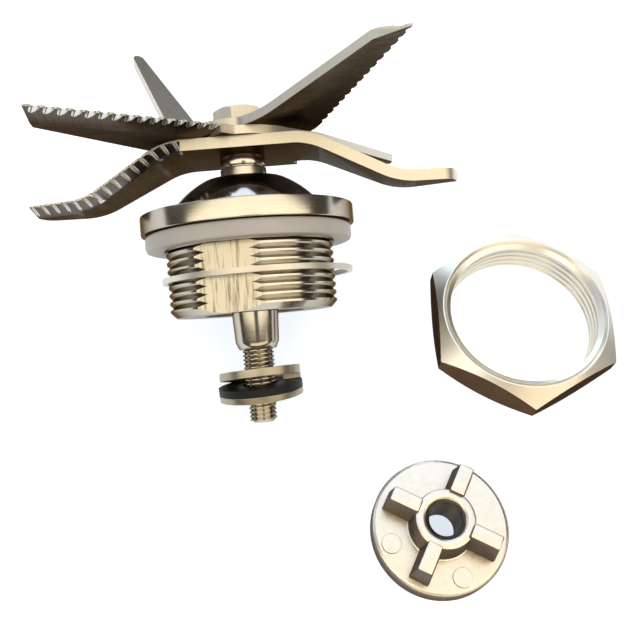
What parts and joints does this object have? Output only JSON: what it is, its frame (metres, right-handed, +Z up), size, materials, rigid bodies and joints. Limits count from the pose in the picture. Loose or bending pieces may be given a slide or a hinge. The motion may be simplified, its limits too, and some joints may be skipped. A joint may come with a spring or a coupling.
{
  "type": "blender blade assembly",
  "caption": "Serrated blender blades bent to several levels on a bearing housing with gasket and threaded body, lying with its hexagon lock nut and lugged drive coupling taken off.",
  "frame": {"origin": "middle of the set's footprint on the surface it lies on", "axes": "+Z up from that surface; the shaft's axis lies in the Y and Z plane and rises along +Y towards the blades"},
  "size_m": [0.1146, 0.12, 0.0642],
  "materials": {
    "housing_steel": "turned, satin",
    "gasket_silicone": "translucent, matte",
    "seat_washer": "matte",
    "seal_rubber": "matte",
    "bearing_steel": "ground",
    "spacer_steel": "turned",
    "spring_steel": "oiled",
    "shaft_steel": "turned, bright",
    "sleeve_steel": "polished",
    "washer_zinc": "zinc plated",
    "blade_nut_steel": "bright",
    "lower_blade_steel": "rolled, ground edge",
    "middle_blade_steel": "rolled, ground edge",
    "upper_blade_steel": "rolled, ground edge",
    "lock_nut_zinc": "bright zinc plated",
    "coupling_cast": "die cast"
  },
  "bodies": {
    "housing_set": {"bearing_housing": "housing_steel", "flange_gasket": "gasket_silicone", "seat_washer": "seat_washer", "lip_seal": "seal_rubber", "upper_outer_race": "bearing_steel", "lower_outer_race": "bearing_steel", "outer_spacer": "spacer_steel", "retaining_ring": "spring_steel", "lock_nut": "lock_nut_zinc", "drive_coupling": "coupling_cast"},
    "blade_rotor": {"upper_inner_race": "bearing_steel", "lower_inner_race": "bearing_steel", "inner_spacer": "spacer_steel", "shaft": "shaft_steel", "shaft_sleeve": "sleeve_steel", "spring_washer": "spring_steel", "flat_washer": "washer_zinc", "blade_nut": "blade_nut_steel", "lower_blade_plate": "lower_blade_steel", "middle_blade_plate": "middle_blade_steel", "upper_blade_plate": "upper_blade_steel"},
    "ball_sets": {"upper_balls": "bearing_steel", "lower_balls": "bearing_steel"}
  },
  "joints": [
    {"name": "blade_spin", "type": "hinge", "parent": "housing_set", "child": "blade_rotor", "pos_m": [-0.01615, 0.00864, 0.0208], "axis": [0, 0.8977, 0.4405], "continuous": true},
    {"name": "ball_orbit", "type": "hinge", "parent": "housing_set", "child": "ball_sets", "pos_m": [-0.01615, 0.00864, 0.0208], "axis": [0, 0.8977, 0.4405], "continuous": true}
  ],
  "couplings": [
    {"joint": "ball_orbit", "follows": "blade_spin", "ratio": 0.36923}
  ]
}
